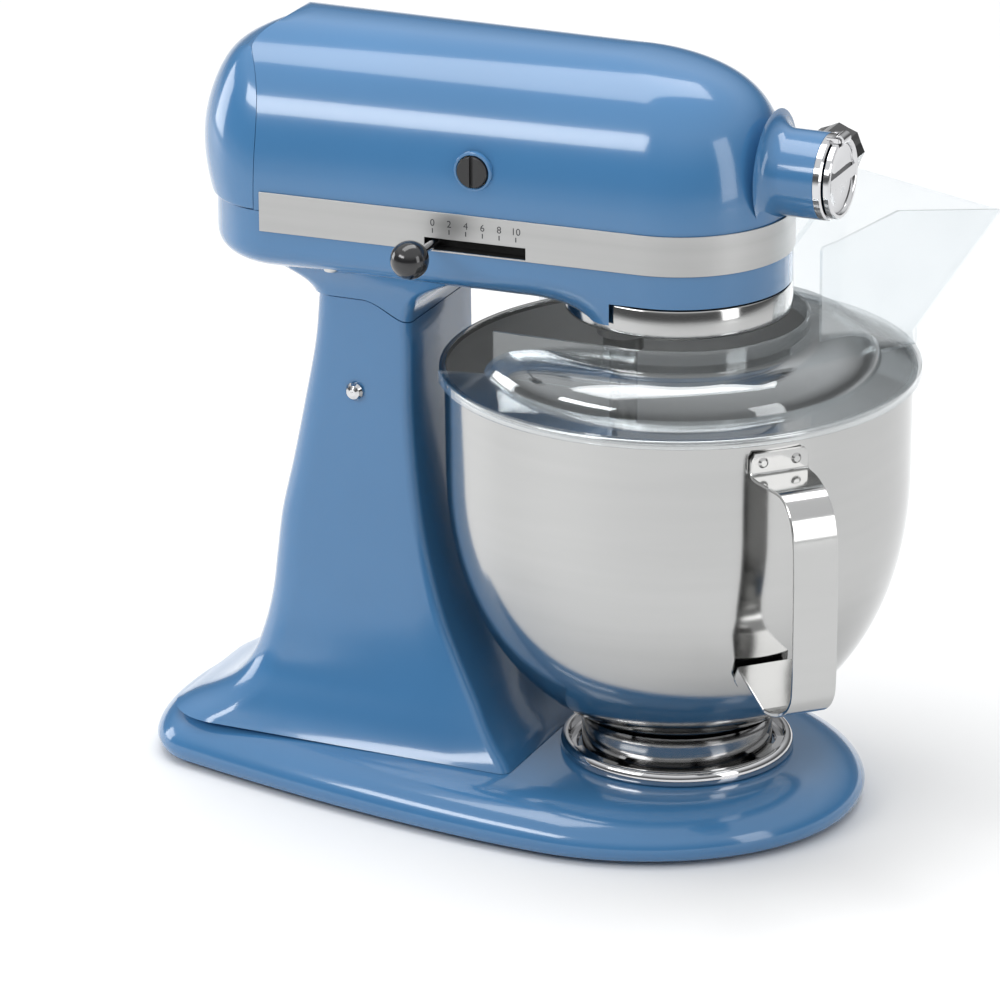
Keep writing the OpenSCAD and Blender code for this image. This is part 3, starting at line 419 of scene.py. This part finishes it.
dome_heights = [SPLIT + 0.3, 278.6, 279.4] + [mix(281, 303, i / 8) for i in range(9)] + [
    303 + 43.9 * math.sin(math.radians(a)) for a in range(4, 90, 4)]
rear = make_mesh("rear_cover_shell", loft([dome_ring(z, 0.35 if i == 0 else 0.1 if i == 1 else 0)
                                           for i, z in enumerate(dome_heights)]))
boolean(rear, lathe([(0, -236), (4.5, -236), (4.5, -226.6), (0, -226.6)], 48, "x", (0, 0, 290)))
finish_piece(rear, M["enamel"], "head", ["rear_cover"], 32, 0.35, 2)


def case_inset(z):
    return 0 if z > 262 else 34 * ((262 - z) / 19) ** 3


def case_ring(z):
    s = case_inset(z)
    w0 = head_w(REAR_X) - s
    back = [(REAR_X + (REAR_ROUND - s * 0.8) * math.cos(math.radians(a)), w0 * math.sin(math.radians(a)), z)
            for a in [90 + 180 * i / 40 for i in range(1, 40)]]
    side = []
    for i in range(41):
        x = mix(REAR_X, 0, i / 40)
        side.append((x, -(head_w(x) - s * ease((-x - 14) / 40)), z))
    nose = [(x, y, z) for x, y in arc(0, 0, HEAD_HALF, -90, 90, 48)][1:-1]
    return side + nose + [(x, -y, z) for x, y, _ in reversed(side)] + back


def block_ring(row, inset=0.0):
    z, front, back, half_front, half_back, round_back = row
    front, back, half_front, half_back = front - inset, back + inset, half_front - inset, half_back - inset
    round_back, round_front = round_back - inset, 5.0
    quarter = [
        arc(back + round_back, -half_back + round_back, round_back, 180, 270, 10),
        arc(front - round_front, -half_front + round_front, round_front, 270, 360, 8),
        arc(front - round_front, half_front - round_front, round_front, 0, 90, 8),
        arc(back + round_back, half_back - round_back, round_back, 90, 180, 10)]
    ring = []
    for i, q in enumerate(quarter):
        ring += q
        a, b = q[-1], quarter[(i + 1) % 4][0]
        ring += [(mix(a[0], b[0], j / 6), mix(a[1], b[1], j / 6)) for j in range(1, 6)]
    return [(x, y, z) for x, y in ring]


def seam_line(offset):
    z = SEAM_Z + offset
    return [(-260, z)] + [(mix(-140, -116, i / 12), z - 9 * ease(i / 12)) for i in range(13)]


def fan(radius, start, end, reach):
    """Outline of the space that the column sweeps behind the hinge."""
    inner = [(HINGE_X + radius * math.cos(math.radians(mix(start, end, i / 10))),
              HINGE_Z + radius * math.sin(math.radians(mix(start, end, i / 10)))) for i in range(11)]
    return inner + [(HINGE_X + reach * math.cos(math.radians(a)), HINGE_Z + reach * math.sin(math.radians(a)))
                    for a in (end, mix(start, end, 0.5), start)]


case_heights = [243 + 0.15 * i * i for i in range(10)] + [257, 259, 261, 263, 266, 270, 274, 277.0, 277.7]
case = make_mesh("gear_case", loft([case_ring(z) for z in case_heights]))
boolean(case, loft([block_ring(spline(NECK, mix(222, 252, i / 24))) for i in range(25)]), "UNION")
boolean(case, loft([block_ring(spline(NECK, mix(222, 250, i / 8)), 3.5) for i in range(9)]))
boolean(case, lathe([(0, 200), (53.5, 200), (53.5, 253), (0, 253)], 128))
boolean(case, prism(seam_line(0.6) + [(-60, SEAM_Z - 8.4), (-60, 150), (-260, 150)], "xz", -100, 100))
boolean(case, prism(fan(12.4, -90, -145, 70), "xz", -100, 100))
boolean(case, block((-102, -62, SLOT_Z[0]), (-50, -48, SLOT_Z[1])))
add_shape(case, merged(
    lathe([(4.85, -16.4), (10.5, -16.4), (10.5, 16.4), (4.85, 16.4)], 48, "y", (HINGE_X, 0, HINGE_Z)),
    block((-186, -16.4, 247.4), (-124, 16.4, 251)),
    block((-151, -35.5, 236), (-122, 35.5, 240)),
    lathe([(4.2, 236), (8, 236), (8, 249), (4.2, 249)], 48, "z", (LOCK_X, 0, 0))))
finish_piece(case, M["enamel"], "head", ["gearcase_lower"], 32)
case.data.materials.append(dark)
for face in case.data.polygons:
    x, y, z = (c * 1000 for c in face.center)
    if SLOT_Z[0] - 0.1 < z < SLOT_Z[1] + 0.1 and -102.1 < x < -49.9 and -head_w(x) + 0.5 < y < -47.9:
        face.material_index = 1

# Trim band: one skin around the head, open at the lever's slot, then thickened
outline = head_outline(0, 1, REAR_X, 0, 0.9)
xs = sorted({SLOT_X[0], SLOT_X[1]} | {p[0] for p in outline[:28]})
outline = [(x, -(head_w(x) + 0.9)) for x in xs] + [(x, y) for x, y, _ in outline[28:]]
levels = [BAND_Z[0], SLOT_Z[0], SLOT_Z[1], 280.0, BAND_Z[1]]
band_faces = []
for i in range(len(outline) - 1):
    for j in range(len(levels) - 1):
        in_slot = j == 1 and SLOT_X[0] <= outline[i][0] < SLOT_X[1] and outline[i][1] < 0
        if not in_slot:
            a, b = i * len(levels) + j, (i + 1) * len(levels) + j
            band_faces.append((a, b, b + 1, a + 1))
trim = make_mesh("trim_skin", ([(x, y, z) for x, y in outline for z in levels], band_faces))
if trim.data.polygons[0].normal.y > 0:
    trim.data.flip_normals()
solid = trim.modifiers.new("thick", "SOLIDIFY")
solid.thickness, solid.offset = 0.0008, -1
finish_piece(trim, M["silver_trim"], "head", ["trim_band"], 30, 0.15, 2)

# Speed scale: plain numerals and ticks above the slot
marks = []
for i, label in enumerate(("0", "2", "4", "6", "8", "10")):
    x = LEVER_X + 8 * i
    curve = bpy.data.curves.new("numeral", "FONT")
    curve.body, curve.size, curve.align_x, curve.extrude = label, 0.0046, "CENTER", 0.00003
    text = bpy.data.objects.new("numeral", curve)
    text.matrix_world = (
        Matrix.Translation((x * 0.001, -(head_w(x) + 0.93) * 0.001, 0.2805))
        @ Matrix.Rotation(math.atan(HEAD_FLARE / 180), 4, "Z")
        @ Matrix.Rotation(math.pi / 2, 4, "X"))
    bpy.context.scene.collection.objects.link(text)
    bpy.context.view_layer.update()
    mesh = bpy.data.meshes.new_from_object(text)
    mesh.transform(text.matrix_world)
    points = [tuple(c * 1000 for c in v.co) for v in mesh.vertices]
    marks.append((points, [tuple(p.vertices) for p in mesh.polygons]))
    bpy.data.objects.remove(text)
    y = -(head_w(x) + 0.9)
    marks.append(block((x - 0.25, y - 0.06, 277.2), (x + 0.25, y + 0.05, 279.4)))
scale = make_mesh("speed_scale", merged(*marks))
finish_piece(scale, ink, "head", [], 30)

# Hub cover: domed disc with a raised plain band and a turned edge
cover_profile = [(0, 75), (17.5, 75), (18.5, 75.6), (18.5, 77.8), (18.0, 78.4), (16.6, 78.4), (16.0, 77.9),
                 (15.6, 76.9), (14.8, 76.6), (8, 76.8), (0, 76.9)]
cover = make_mesh("hub_disc", lathe(cover_profile, 96, "x", (0, 0, HUB_Z)))
plate = [(y, HUB_Z - 2.9 + 0.2 * (y / 15) ** 2) for y in [mix(-15.2, 15.2, i / 16) for i in range(17)]]
plate += [(y, HUB_Z + 2.9) for y in [mix(15.2, -15.2, i / 16) for i in range(17)]]
lug = lathe([(1.3, -4.4), (2.6, -4.4), (2.6, 4.4), (1.3, 4.4)], 32, "y", (77.6, 0, 325.7))
for y in (-6.2, 4.4):
    boolean(cover, block((74, y, HUB_Z + 15.7), (80, y + 1.8, HUB_Z + 22)))
add_shape(cover, merged(prism(plate, "yz", 76.0, 78.2), lug))
finish_piece(cover, M["chrome"], "hub_cover", ["hub_cover"], 35, 0.25, 2)
piece("hub_rim", lathe([(17, 71), (19.7, 71), (19.7, 73.8), (18.9, 74.6), (17.4, 74.6), (17, 74.2)], 96, "x",
                       (0, 0, HUB_Z)), "head", ["hub_ring"])

# ---- Controls ---------------------------------------------------------------------
ball = [(8.8 * math.sin(math.radians(a)), -81 - 8.8 * math.cos(math.radians(a))) for a in range(0, 166, 5)]
ball += [(2.15, -81 + 8.8 * math.cos(math.radians(14.2))), (2.15, -75), (0, -75)]
piece("speed_ball", lathe(ball, 64, "y", (LEVER_X, 0, LEVER_Z)), "speed_lever", ["speed_knob"], 40)
for side, name in ((-1, "near"), (1, "far")):
    cap = make_mesh("brush_cap_" + name, lathe(
        [(0, 50.2 * side), (7.3, 50.2 * side), (7.3, 54.2 * side), (6.8, 54.75 * side), (0, 54.8 * side)],
        64, "y",
        (BRUSH_X, 0, BRUSH_Z)))
    low, high = sorted((53.2 * side, 56 * side))
    boolean(cap, block((BRUSH_X - 0.9, low, BRUSH_Z - 8), (BRUSH_X + 0.9, high, BRUSH_Z + 8)))
    finish_piece(cap, M["black_plastic"], "head", ["brush_caps"], 35, 0.15, 2)

# ---- Column and base -----------------------------------------------------------------
heights = [24.5] + [mix(26, 236, (i / 60) ** 1.25) for i in range(61)]
column = make_mesh("column_shell", loft([block_ring(spline(COLUMN, z)) for z in heights]))
boolean(column, prism(seam_line(0) + [(-60, SEAM_Z - 9), (-60, 300), (-260, 300)], "xz", -100, 100))
boolean(column, lathe([(0, 215), (4.05, 215), (4.05, 240), (0, 240)], 48, "z", (LOCK_X, 0, 0)))
ears = []
for y in (-27, 17):
    ears.append(lathe([(4.8, y), (6.5, y), (6.5, y + 10), (4.8, y + 10)], 48, "y", (HINGE_X, 0, HINGE_Z)))
    ears.append(block((-166, y, 225), (-154, y + 10, 242)))
add_shape(column, merged(*ears))
finish_piece(column, M["enamel"], "stand", ["pedestal"], 32)


def base_side(x):
    if x > -25:
        return 99 * math.sqrt(max(0, 1 - ((x + 25) / 112) ** 2))
    end = 1 if x > -226 else max(0, 1 - ((-226 - x) / 28) ** 2.4) ** (1 / 2.4)
    return (99 - 38 * ((-25 - x) / 205) ** 1.6) * end


def base_ring(z, inset):
    mid, half = -83.5, 170.5
    ring = []
    for i in range(160):
        a = 2 * math.pi * i / 160
        x = mid + half * math.cos(a)
        y = base_side(x) * (1 if a < math.pi else -1)
        ring.append((mid + (x - mid) * (1 - inset / half), y * (1 - inset / 99), z))
    return ring


base_profile = [(12, 12), (4, 9), (3, 8.4), (3, 2.9)] + curve2d(
    [(3.2, 2.2), (5.5, 0.6), (9, 0.02), (13.5, 1.8), (18, 6), (21.5, 12), (23.5, 19), (24.25, 27)], 4) + [(24.3, 29)]
posts = [lathe([(0, 3), (8, 3), (8, 16), (0, 16)], 40, "z", (x, y, 0)) for x, y in FEET]
posts += [lathe([(3.3, 10), (9, 10), (9, 16), (3.3, 16)], 40, "z", (x, y, 0)) for x, y in BASE_SCREWS]
base = make_mesh("base_casting", loft([base_ring(z, inset) for z, inset in base_profile]))
add_shape(base, merged(*posts))
finish_piece(base, M["enamel"], "stand", ["base_plate"], 50)

clamp_profile = [(30, 21), (48, 21), (48, 24.4), (52.9, 24.4), (53.6, 24.9), (53.9, 25.8), (53.7, 28.2), (53.3, 29.6),
                 (52.3, 30.7), (51.3, 31.15), (50.3, 31.0), (49.6, 30.2), (49.6, 26.6), (48.8, 25.8), (46.5, 25.8),
                 (45, 23.6), (30, 23.6)]


def sector(profile, start, end, steps):
    """Closed profile turned through part of a circle about the bowl's axis."""
    rings = [[(r * math.cos(a), r * math.sin(a), z) for r, z in profile]
             for a in (math.radians(mix(start, end, i / steps)) for i in range(steps + 1))]
    return loft(rings)


lips = [sector([(46.4, 28.6), (50, 28.6), (50, 30), (46.4, 30)], a - 17, a + 17, 16) for a in (0, 120, 240)]
piece("clamp_ring", merged(lathe(clamp_profile, 128), *lips), "stand", ["bowl_clamp_plate"], 38)

# ---- Bowl --------------------------------------------------------------------------
def bowl_radius(z):
    if z > BOWL_MID:
        return BOWL_R + 0.5 * (z - BOWL_MID) / (RIM_Z - BOWL_MID)
    return BOWL_R * max(0, 1 - ((BOWL_MID - z) / BOWL_DEEP) ** 2.2) ** (1 / 2.2)


wall_z = [mix(RIM_Z - 2.6, BOWL_MID, i / 8) for i in range(9)] + [
    BOWL_MID - 119.5 * math.sin(math.radians(90 * i / 46)) for i in range(1, 47)]
outside = [(bowl_radius(z), z) for z in wall_z]
inside = [(bowl_radius(z) - 1, z + min(1, max(0, (130 - z) / 80))) for z in reversed(wall_z[:-3])]
rim = [(BOWL_R - 0.6, RIM_Z - 0.7), (BOWL_R - 0.3, RIM_Z - 0.15), (BOWL_R + 0.8, RIM_Z)]
rim += arc(BOWL_R + 1.4, RIM_Z - 1.3, 1.3, 90, -90, 10)
bowl_bottom = [(42, 43.2), (39, 42.4), (0, 42.4), (0, 43.4), (40, 43.4)]
bowl = piece("bowl_wall", lathe(rim + outside + bowl_bottom + inside, 192), "bowl", ["bowl_shell"], 40)
bowl.data.materials.append(brushed_inside)
for face in bowl.data.polygons:
    outward = Vector((face.center.x, face.center.y, -0.02))
    if face.center.z < (RIM_Z - 3) * 0.001 and face.normal.dot(outward) < 0:
        face.material_index = 1

foot_profile = [(42.6, 25.2), (42.9, 25), (43.7, 25), (44, 25.3), (44, 36), (44.3, 39.5), (45.3, 42.8), (47, 45.4),
                (39, 41.9), (40.4, 41.2), (42.6, 38.4)]
tab_profile = [(43.5, 26.4), (48.2, 26.4), (48.6, 26.8), (48.6, 27.9), (48.3, 28.2), (43.5, 28.2)]
tabs = [sector(tab_profile, a - 10, a + 10, 10) for a in (0, 120, 240)]
piece("bowl_foot_ring", merged(lathe(foot_profile, 128), *tabs), "bowl", ["bowl_foot"], 38)

# Handle: one bent strap, wide at its tabs and narrower in the grip
path = curve2d(HANDLE[1:14], 5)
path = [HANDLE[0], (106.5, 201), (106.5, 198)] + path + [HANDLE[14], HANDLE[15], (91.4, 92.2), HANDLE[16]]
strap = []
for i, p in enumerate(path):
    a, b = path[max(0, i - 1)], path[min(len(path) - 1, i + 1)]
    d = Vector((b[0] - a[0], b[1] - a[1])).normalized()
    n = Vector((-d.y, d.x))
    grip = ease((p[0] - 112) / 26)
    half = mix(14, 10.6, grip)
    if i == 0:
        half = 12.2
    if i == len(path) - 1:
        half = 11.5
    section = [(-half, 0.35), (-half + 0.35, 0), (half - 0.35, 0), (half, 0.35),
               (half, 1.45), (half - 0.35, 1.8), (-half + 0.35, 1.8), (-half, 1.45)]
    strap.append([(p[0] + n.x * t, w, p[1] + n.y * t) for w, t in section])
piece("handle_strap", turned(loft(strap), HANDLE_ANGLE), "bowl", ["bowl_handle"], 34)

# ---- Pouring shield -------------------------------------------------------------------
FLANGE = RIM_Z + 1.8
CHUTE_Y = (-61.5, 33.5)


def shield_line(t):
    dome = [(68 + (24 - t) * math.cos(math.radians(a)), 213 + (17 - t) * math.sin(math.radians(a)))
            for a in range(84, 3, -6)]
    return [(59.6, 229.5 - t * 0.8), (62, 229.6 - t), (66, 229.8 - t)] + dome + [(110.3 - t, FLANGE - t)]


under = list(reversed(shield_line(1.6)))
under[-1] = (58, 228.2)
shield_profile = [(58, 235.6), (58.4, 236), (59.2, 236), (59.6, 235.6)] + shield_line(0)[:-1] + [
    (109.6, FLANGE), (110.25, FLANGE - 0.65), (110.25, 208.4),
    (109.9, 208), (109.1, 208), (108.7, 208.4)] + under
shield = make_mesh("shield_shell", lathe(shield_profile, 192))
boolean(shield, block((-130, -58.2, 200), (0, 58.2, 250)))
turn = math.radians(67)
boolean(shield, turned(block((64, -59.5, 200), (84, 31.5, 250)), turn))
lip, root = (145.5, 265), (86, 219)
near = [(29, 228.6), (29, 271.5), (30.2, 273), (40, 273.6), (79, 279), (147, 264.4),
        (147, 263.2), (92, 220.4), (92, 212.8), (70, 213.4),
        (66, 218), (58, 223.8), (50, 226.6), (40, 228.2)]
far = [(60, 228.6), (60, 266.5), (61.2, 268), (79, 276), (147, 264.4),
       (147, 263.2), (104.4, 230.2), (104.4, 212.8),
       (86, 213.5), (80, 222),
       (70, 227.2)]
floor_line = [root, (88.6, 212.6), (91.2, 212.6), (89.5, 219.4), (146.6, 263.6), lip]
chute = merged(prism(near, "xz", CHUTE_Y[0], CHUTE_Y[0] + 1.6),
               prism(far, "xz", CHUTE_Y[1] - 1.6, CHUTE_Y[1]),
               prism(floor_line, "xz", CHUTE_Y[0] + 0.8, CHUTE_Y[1] - 0.8))
add_shape(shield, merged(turned(chute, turn),
                         block((-66, -59, 214), (3, -57.4, 235.4)),
                         block((-66, 57.4, 214), (3, 59, 235.4))))
finish_piece(shield, M["clear_plastic"], "shield", ["pouring_shield"], 35)

# ---- Drip ring and planetary ------------------------------------------------------------
ring_profile = [(49.9, 239.0), (51.0, 238.9), (51.5, 239.4), (51.6, 240.2), (51.6, 251.4), (51.2, 252), (50.2, 252),
                (50.2, 243), (49.9, 242)]
piece("drip_band", lathe(ring_profile, 128), "planetary", ["drip_ring"], 38)
for node in ("planetary_carrier", "lock_knob", "lock_shaft", "attachment_knob", "beater_shaft", "speed_lever",
             "rubber_feet", "cord_grommet", "lock_lever"):
    mod = frame["nodes"][node].modifiers.new("edge", "BEVEL")
    mod.width, mod.segments, mod.limit_method, mod.angle_limit = 0.0004, 2, "ANGLE", math.radians(40)

# ---- Stage, light and camera ---------------------------------------------------------------
reach = 6000
floor = make_mesh("floor", (
    [(-reach, -reach, 0), (reach, -reach, 0), (reach, reach, 0), (-reach, reach, 0)], [(0, 1, 2, 3)]))
floor.data.materials.append(surface("pale_floor", (0.86, 0.86, 0.86), 0.0, (0.55, 0.65), vary=0.005, grain=2))

world = bpy.data.worlds.new("studio")
bpy.context.scene.world = world
world.use_nodes = True
# Levels of grey by height: pale below, a darker band at the horizon, and white overhead
sky = world.node_tree
background = sky.nodes["Background"]
background.inputs["Strength"].default_value = 1.0
place = sky.nodes.new("ShaderNodeTexCoord")
height = sky.nodes.new("ShaderNodeSeparateXYZ")
sky.links.new(place.outputs["Generated"], height.inputs["Vector"])
tone = sky.nodes.new("ShaderNodeValToRGB")
stops = [(0.0, 0.62), (0.47, 0.60), (0.52, 0.16), (0.60, 0.12), (0.70, 0.50), (0.80, 0.95), (1.0, 1.0)]
while len(tone.color_ramp.elements) < len(stops):
    tone.color_ramp.elements.new(0.5)
for element, (at, level) in zip(tone.color_ramp.elements, stops):
    element.position, element.color = at, (level, level * 1.01, level * 1.02, 1)
lift = sky.nodes.new("ShaderNodeMapRange")
lift.inputs["From Min"].default_value = -1.0
sky.links.new(height.outputs["Z"], lift.inputs["Value"])
sky.links.new(lift.outputs["Result"], tone.inputs["Fac"])
sky.links.new(tone.outputs["Color"], background.inputs["Color"])


def softbox(name, place, aim, size, power):
    light = bpy.data.lights.new(name, "AREA")
    light.shape, light.size, light.size_y, light.energy = "RECTANGLE", size[0], size[1], power
    obj = bpy.data.objects.new(name, light)
    bpy.context.scene.collection.objects.link(obj)
    obj.location = place
    obj.rotation_euler = (Vector(aim) - Vector(place)).to_track_quat("-Z", "Y").to_euler()


softbox("overhead", (-0.3, 0.2, 2.2), (-0.05, 0, 0.2), (2.4, 0.9), 26)
softbox("left_strip", (-1.3, -1.9, 1.5), (-0.05, 0, 0.28), (1.5, 0.5), 20)
softbox("right_fill", (2.4, -0.7, 0.9), (0, 0, 0.2), (0.8, 1.6), 12)
softbox("dome_light", (-2.4, 0.1, 0.5), (-0.15, 0, 0.3), (0.9, 0.8), 9)

# The lens and the camera's place and turn repeat the photograph's view
right = Vector((0.9171, 0.3987, 0))
up = Vector((-0.1383, 0.3181, 0.9379))
ahead = Vector((-0.3740, 0.8601, -0.3469))
roll = math.radians(-0.32)
view_x = right * math.cos(roll) + up * math.sin(roll)
view_y = up * math.cos(roll) - right * math.sin(roll)
camera_data = bpy.data.cameras.new("camera")
camera_data.sensor_width, camera_data.lens = 36.0, 236.8
camera_data.clip_end = 50
camera = bpy.data.objects.new("camera", camera_data)
bpy.context.scene.collection.objects.link(camera)
camera.matrix_world = Matrix.Translation((1.0481, -2.6143, 1.1861)) @ Matrix(
    (view_x, view_y, -ahead)).transposed().to_4x4()
bpy.context.scene.camera = camera
bpy.context.scene.view_settings.view_transform = "Standard"

bpy.context.view_layer.update()
